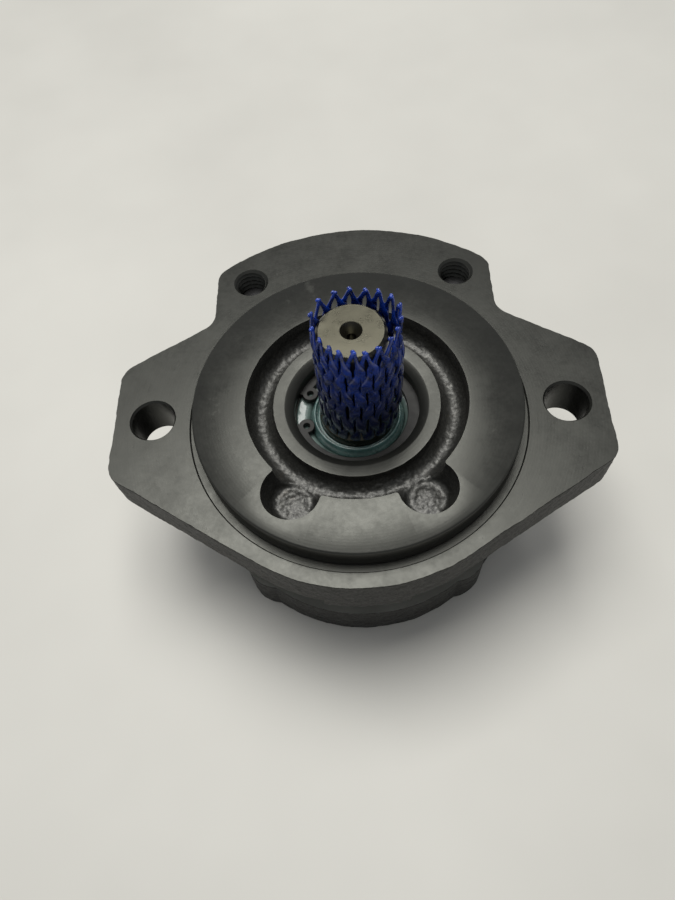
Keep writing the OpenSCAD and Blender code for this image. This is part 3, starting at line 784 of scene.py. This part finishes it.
prof = [(12.15, -3.2), (12.1, -2.6), (11.95, -2.2), (11.7, -1.6), (11.45, -0.95), (11.2, -0.55), (10.95, -0.42), (10.7, -0.52), (10.5, -0.95), (10.35, -1.5), (10.1, -1.75), (9.85, -1.6),
        (9.62, -1.7), (9.58, -2.3), (9.9, -3.2), (10.3, -3.9), (10.2, -4.9), (9.62, -5.8), (9.58, -6.1), (10.2, -7.2), (10.9, -7.3), (11.4, -6.9), (11.45, -5.6), (12.15, -5.4)]
co, f = lathe(densify(prof, 0.18), 360, closed=True)
o = make("lip", co, f, M_LIP)
finish_piece(o, "seal_lip", "pump_body", 60, ["shaft_seal_lip"])

M_RING = steel("ring_steel", (0.012, 0.012, 0.011), 0.50, 0.4, turn=5200, bump=0.05, oil=0.0)


def retaining_ring():
    zr0, zr1 = -1.45, -0.15
    co, f = lathe([(0, zr0), (16.45, zr0), (16.62, zr0 + 0.18), (16.62, zr1 - 0.18), (16.45, zr1), (0, zr1)], 300)
    o = make("ring", co, f, M_RING)
    gap0, gap1 = math.radians(153.5), math.radians(196.1)
    co, f = lathe([(0, -4), (13.42, -4), (13.42, zr1 - 0.14), (13.58, zr1 + 0.02), (13.58, 2), (0, 2)], 300, centre=(-0.4, 0))
    boolean(o, make("c", co, f, M_RING))
    g = [(10, gap0 + 0.075), (19, gap0 + 0.075), (19, gap1 - 0.075), (10, gap1 - 0.075)]
    pts = [(r * math.cos(a), r * math.sin(a)) for r, a in g]
    co = np.array([(x, y, -3) for x, y in pts] + [(x, y, 2) for x, y in pts])
    boolean(o, make("g", co, [(3, 2, 1, 0), (4, 5, 6, 7), (0, 1, 5, 4), (1, 2, 6, 5), (2, 3, 7, 6), (3, 0, 4, 7)], M_RING))
    for a in (gap0, gap1):
        c = (13.5 * math.cos(a), 13.5 * math.sin(a))
        co, f = lathe([(0, zr0), (1.95, zr0), (2.08, zr0 + 0.14), (2.08, zr1 - 0.16), (1.92, zr1), (0, zr1)], 72, centre=c)
        boolean(o, make("e", co, f, M_RING), "UNION")
        co, f = lathe([(0, -3), (0.8, -3), (0.8, zr1 - 0.12), (0.98, zr1 + 0.03), (0.98, 1), (0, 1)], 48, centre=c)
        boolean(o, make("e", co, f, M_RING))
    return o


finish_piece(retaining_ring(), "retaining_ring", "pump_body", 25, ["seal_retaining_ring"])

# --- drive shaft
M_SHAFT = steel("shaft_steel", (0.088, 0.084, 0.062), 0.28, 0.9, turn=9000, bump=0.02, oil=0.1)


def drive_shaft():
    e = SHAFT_END
    R = 7.94
    prof = [(0, -45.2), (8.7, -45.2), (9.5, -44.4), (9.5, 0.75), (9.42, 0.9), (8.1, 1.7), (R, 1.9), (R, e - 0.74), (R - 0.07, e - 0.62), (R - 0.62, e - 0.07), (R - 0.72, e)]
    prof += [(2.55, e), (2.44, e - 0.06), (1.15, e - 2.2), (1.05, e - 2.35), (1.05, e - 5.9), (0, e - 6.5)]
    co, f = lathe(prof, 240)
    o = make("shaft", co, f, M_SHAFT)
    # half-round key seat: a disc across the shaft
    co, f = lathe([(0, -2.0), (7.98, -2.0), (7.98, 2.0), (0, 2.0)], 160)
    co = np.asarray(co, float)
    co = np.c_[co[:, 0] + 11.51, -co[:, 2], co[:, 1] + 17.0]
    boolean(o, make("seat", co, f, M_SHAFT))
    for z in (-32.43, -21.77):
        co, f = lathe([(8.9, z), (12, z), (12, z + 1.2), (8.9, z + 1.2)], 120, closed=True)
        boolean(o, make("g", co, f, M_SHAFT))
    x0, x1, y0, y1, z0, z1 = -1.6, 1.6, 7.7, 14, -31.1, -21.9
    co = np.array([(x, y, z) for z in (z0, z1) for x, y in ((x0, y0), (x1, y0), (x1, y1), (x0, y1))])
    boolean(o, make("k", co, [(3, 2, 1, 0), (4, 5, 6, 7), (0, 1, 5, 4), (1, 2, 6, 5), (2, 3, 7, 6), (3, 0, 4, 7)], M_SHAFT))
    return o


finish_piece(drive_shaft(), "keyed_shaft", "drive_line", 28, ["drive_shaft"])

# --- protective mesh sleeve
def sleeve_material():
    t = T("sleeve_net")
    x, y, z = t.xyz()
    # painted shade and light: the net runs from near black at its lower end to bright blue at its top, standing in for
    # the shade down in the bore and the light on its upper end
    low = t.map(z, 0.008, 0.037, 0, 1)
    n = t.noise(420, 3, 0.6)
    col = t.mix(low, (0.0010, 0.0035, 0.022), (0.006, 0.055, 0.46))
    col = t.mix(t.ramp(n, [(0.35, 0), (0.7, 1)]), col, (0.0015, 0.007, 0.050))
    nrm = t.bump(t.noise(1300, 4, 0.7), 0.7, 0.00022)
    t.set(Base_Color=col, Roughness=0.22, Normal=nrm, Coat_Weight=0.6, Coat_Roughness=0.08, Transmission_Weight=0.08)
    return t.m


def tube(path, rad, sides, up):
    """A closed tube along a path, with rounded ends. up gives one direction across it at each point."""
    path = np.asarray(path, float)
    tan = np.gradient(path, axis=0)
    tan /= np.linalg.norm(tan, axis=1)[:, None]
    u = up - (up * tan).sum(1)[:, None] * tan
    u /= np.linalg.norm(u, axis=1)[:, None]
    v = np.cross(tan, u)
    rad = np.broadcast_to(np.asarray(rad, float), (len(path), 2)) if np.ndim(rad) < 2 else np.asarray(rad, float)
    rows = []
    a = np.linspace(0, 2 * math.pi, sides, endpoint=False)
    k0 = [(-0.98, 0.2), (-0.75, 0.66), (-0.38, 0.92)]
    for sh, sc in k0:
        rows.append(path[0] + tan[0] * sh * rad[0].mean() + (np.cos(a)[:, None] * u[0] * rad[0, 0] + np.sin(a)[:, None] * v[0] * rad[0, 1]) * sc)
    for i in range(len(path)):
        rows.append(path[i] + np.cos(a)[:, None] * u[i] * rad[i, 0] + np.sin(a)[:, None] * v[i] * rad[i, 1])
    for sh, sc in reversed(k0):
        rows.append(path[-1] - tan[-1] * sh * rad[-1].mean() + (np.cos(a)[:, None] * u[-1] * rad[-1, 0] + np.sin(a)[:, None] * v[-1] * rad[-1, 1]) * sc)
    co = np.concatenate(rows)
    f = grid_faces(len(rows), sides)
    f.append(tuple(reversed(range(sides))))
    f.append(tuple((len(rows) - 1) * sides + i for i in range(sides)))
    return co, f


# where the strands' cut ends stand: direction in degrees round the sleeve, height in mm
TIPS = [(11.4, 38.0), (35.2, 37.0), (57.2, 35.9), (76.0, 35.1), (96.1, 35.4), (117.9, 35.8), (144.9, 36.9), (172.0, 37.5), (197.0, 37.6),
        (217.0, 37.6), (234.0, 37.4), (246.6, 37.1), (265.5, 37.9), (281.0, 37.3), (298.0, 37.4), (318.0, 37.6), (335.0, 37.8), (352.0, 38.0)]


def sleeve():
    N, HALVES, z0 = 18, 6, 2.3
    ta, tz = np.array(TIPS).T
    base = float(np.mean(ta - 20.0 * np.arange(N)))
    reg = np.radians(base + 20.0 * np.arange(N))
    off = np.radians(ta) - reg
    per = lambda th, v: np.interp(np.mod(th - reg[0], 2 * math.pi), np.r_[reg - reg[0], 2 * math.pi], np.r_[v, v[0]])
    co_all, f_all, k = [], [], 0
    rng = np.random.default_rng(5)
    for layer, hand in ((0, 1), (1, -1)):
        for i in range(N):
            s = np.linspace(0, 1.0, 120)
            th = reg[i] + hand * (s - 1) * HALVES * math.pi / N
            fade = 0.25 + 0.75 * s ** 2
            top = tz.mean() + (per(th, tz) - tz.mean()) * fade - 0.35
            z = z0 + s * (top - z0)
            th = th + per(th, off) * fade + 0.012 * np.sin(s * 9 + rng.uniform(0, 6.28))
            near = np.cos(np.pi * (s - 1) * HALVES) ** 2
            r = 9.55 + hand * 0.20 * np.cos(math.pi * (s - 1) * HALVES) + 0.05 * vnoise(np.c_[s * 5, np.full_like(s, i * 3.1), np.full_like(s, layer * 7.7)], 3)
            # it stands off over the key
            dth = np.abs((th + math.pi) % (2 * math.pi) - math.pi)
            kt = np.clip((math.radians(38) - dth) / math.radians(21), 0, 1)
            kz = np.clip((z - 3.5) / 4.5, 0, 1) * np.clip((30.5 - z) / 5.0, 0, 1)
            r = r + 0.62 * kt * kt * (3 - 2 * kt) * kz * kz * (3 - 2 * kz)
            # the cut ends part into two short horns
            th = th + hand * np.clip((s - 0.975) / 0.025, 0, 1) * 0.018
            r = r + np.clip((s - 0.96) / 0.04, 0, 1) * rng.uniform(-0.03, 0.08)
            cx = 0.67 + 0.46 * (z - 2.0) / 34.0
            flat = np.clip((35.0 - z) / 6.0, 0, 1)
            rad = np.c_[np.full_like(s, 0.38), 0.44 + 0.06 * near + (0.34 + 0.52 * near) * flat * flat * (3 - 2 * flat)]
            path = np.c_[cx + r * np.cos(th), r * np.sin(th), z]
            up = np.c_[np.cos(th), np.sin(th), np.zeros_like(th)]
            co, f = tube(path, rad, 10, up)
            co_all.append(co)
            f_all += [tuple(v + k for v in q) for q in f]
            k += len(co)
    return make("sleeve", np.concatenate(co_all), f_all, sleeve_material())


finish_piece(sleeve(), "mesh_sleeve", "sleeve", 0, ["protective_sleeve"])

# --- inner parts keep their CAD shape
M_GEAR = steel("gear_steel", (0.46, 0.45, 0.43), 0.30, 1.0, turn=4200, oil=0.3)
M_IDLER = steel("idler_steel", (0.46, 0.45, 0.43), 0.28, 1.0, turn=9000, centre=(0, 0.034), oil=0.3)
M_KEY = steel("key_steel", (0.30, 0.29, 0.28), 0.40, 1.0, turn=0)
M_SNAP = steel("snap_ring_steel", (0.10, 0.10, 0.10), 0.42, 0.9, turn=3000)
M_SPRING = steel("spring_steel", (0.40, 0.39, 0.36), 0.30, 1.0, turn=22000, bump=0.5)
M_PIN = steel("pin_steel", (0.50, 0.49, 0.47), 0.24, 1.0, turn=0)
M_BRONZE = steel("bearing_bronze", (0.42, 0.24, 0.085), 0.40, 1.0, turn=6000, oil=0.3)


def rubber(name, base=(0.018, 0.018, 0.019)):
    t = T(name)
    n = t.noise(500, 4, 0.6)
    col = t.mix(t.ramp(n, [(0.3, 0), (0.7, 1)]), tuple(c * 0.7 for c in base), tuple(c * 1.3 for c in base))
    t.set(Base_Color=col, Roughness=t.map(n, 0.3, 0.7, 0.45, 0.62), Normal=t.bump(n, 0.3, 0.0001))
    return t.m


M_RUBBER = rubber("black_rubber")
for names, m in ((("drive_gear", "idler_gear"), M_GEAR), (("idler_shaft",), M_IDLER), (("drive_gear_key", "idler_gear_key", "drive_shaft_key"), M_KEY),
                 (("drive_gear_snap_rings", "idler_gear_snap_rings"), M_SNAP), (("seal_garter_spring",), M_SPRING), (("front_dowel_pins", "rear_dowel_pins"), M_PIN),
                 (("front_drive_bushing", "front_idler_bushing", "rear_drive_bushing", "rear_idler_bushing", "front_wear_plate", "pressure_plate"), M_BRONZE),
                 (("pressure_plate_seal", "front_body_seal", "rear_body_seal"), M_RUBBER)):
    for n in names:
        me = nodes[n].data
        if not me.materials:
            me.materials.append(m)
        for i in range(len(me.materials)):
            me.materials[i] = m

# ------------------------------------------------------------------ floor and light
me = bpy.data.meshes.new("floor")
me.from_pydata([(-6, -6, -0.05), (6, -6, -0.05), (6, 6, -0.05), (-6, 6, -0.05)], [], [(0, 1, 2, 3)])
floor = bpy.data.objects.new("floor", me)
bpy.context.scene.collection.objects.link(floor)
t = T("floor")
n = t.noise(6, 4, 0.6)
col = t.mix(t.ramp(n, [(0.3, 0), (0.7, 1)]), (0.56, 0.552, 0.515), (0.64, 0.632, 0.590))
t.set(Base_Color=col, Roughness=0.55)
me.materials.append(t.m)


def area(name, loc, target, size, power, color=(1, 1, 1), size_y=None):
    d = bpy.data.lights.new(name, "AREA")
    d.energy = power
    d.color = color
    d.size = size
    if size_y:
        d.shape = "RECTANGLE"
        d.size_y = size_y
    o = bpy.data.objects.new(name, d)
    bpy.context.scene.collection.objects.link(o)
    o.location = loc
    o.rotation_euler = (Vector(target) - Vector(loc)).to_track_quat("-Z", "Y").to_euler()
    return o


area("key", (-0.07, 0.24, 0.95), (0, 0.03, 0), 0.62, 10.0, (1.0, 0.985, 0.95))
w = bpy.data.worlds.new("world")
w.use_nodes = True
w.node_tree.nodes["Background"].inputs[0].default_value = (0.95, 0.97, 1.0, 1)
w.node_tree.nodes["Background"].inputs[1].default_value = 0.30
bpy.context.scene.world = w
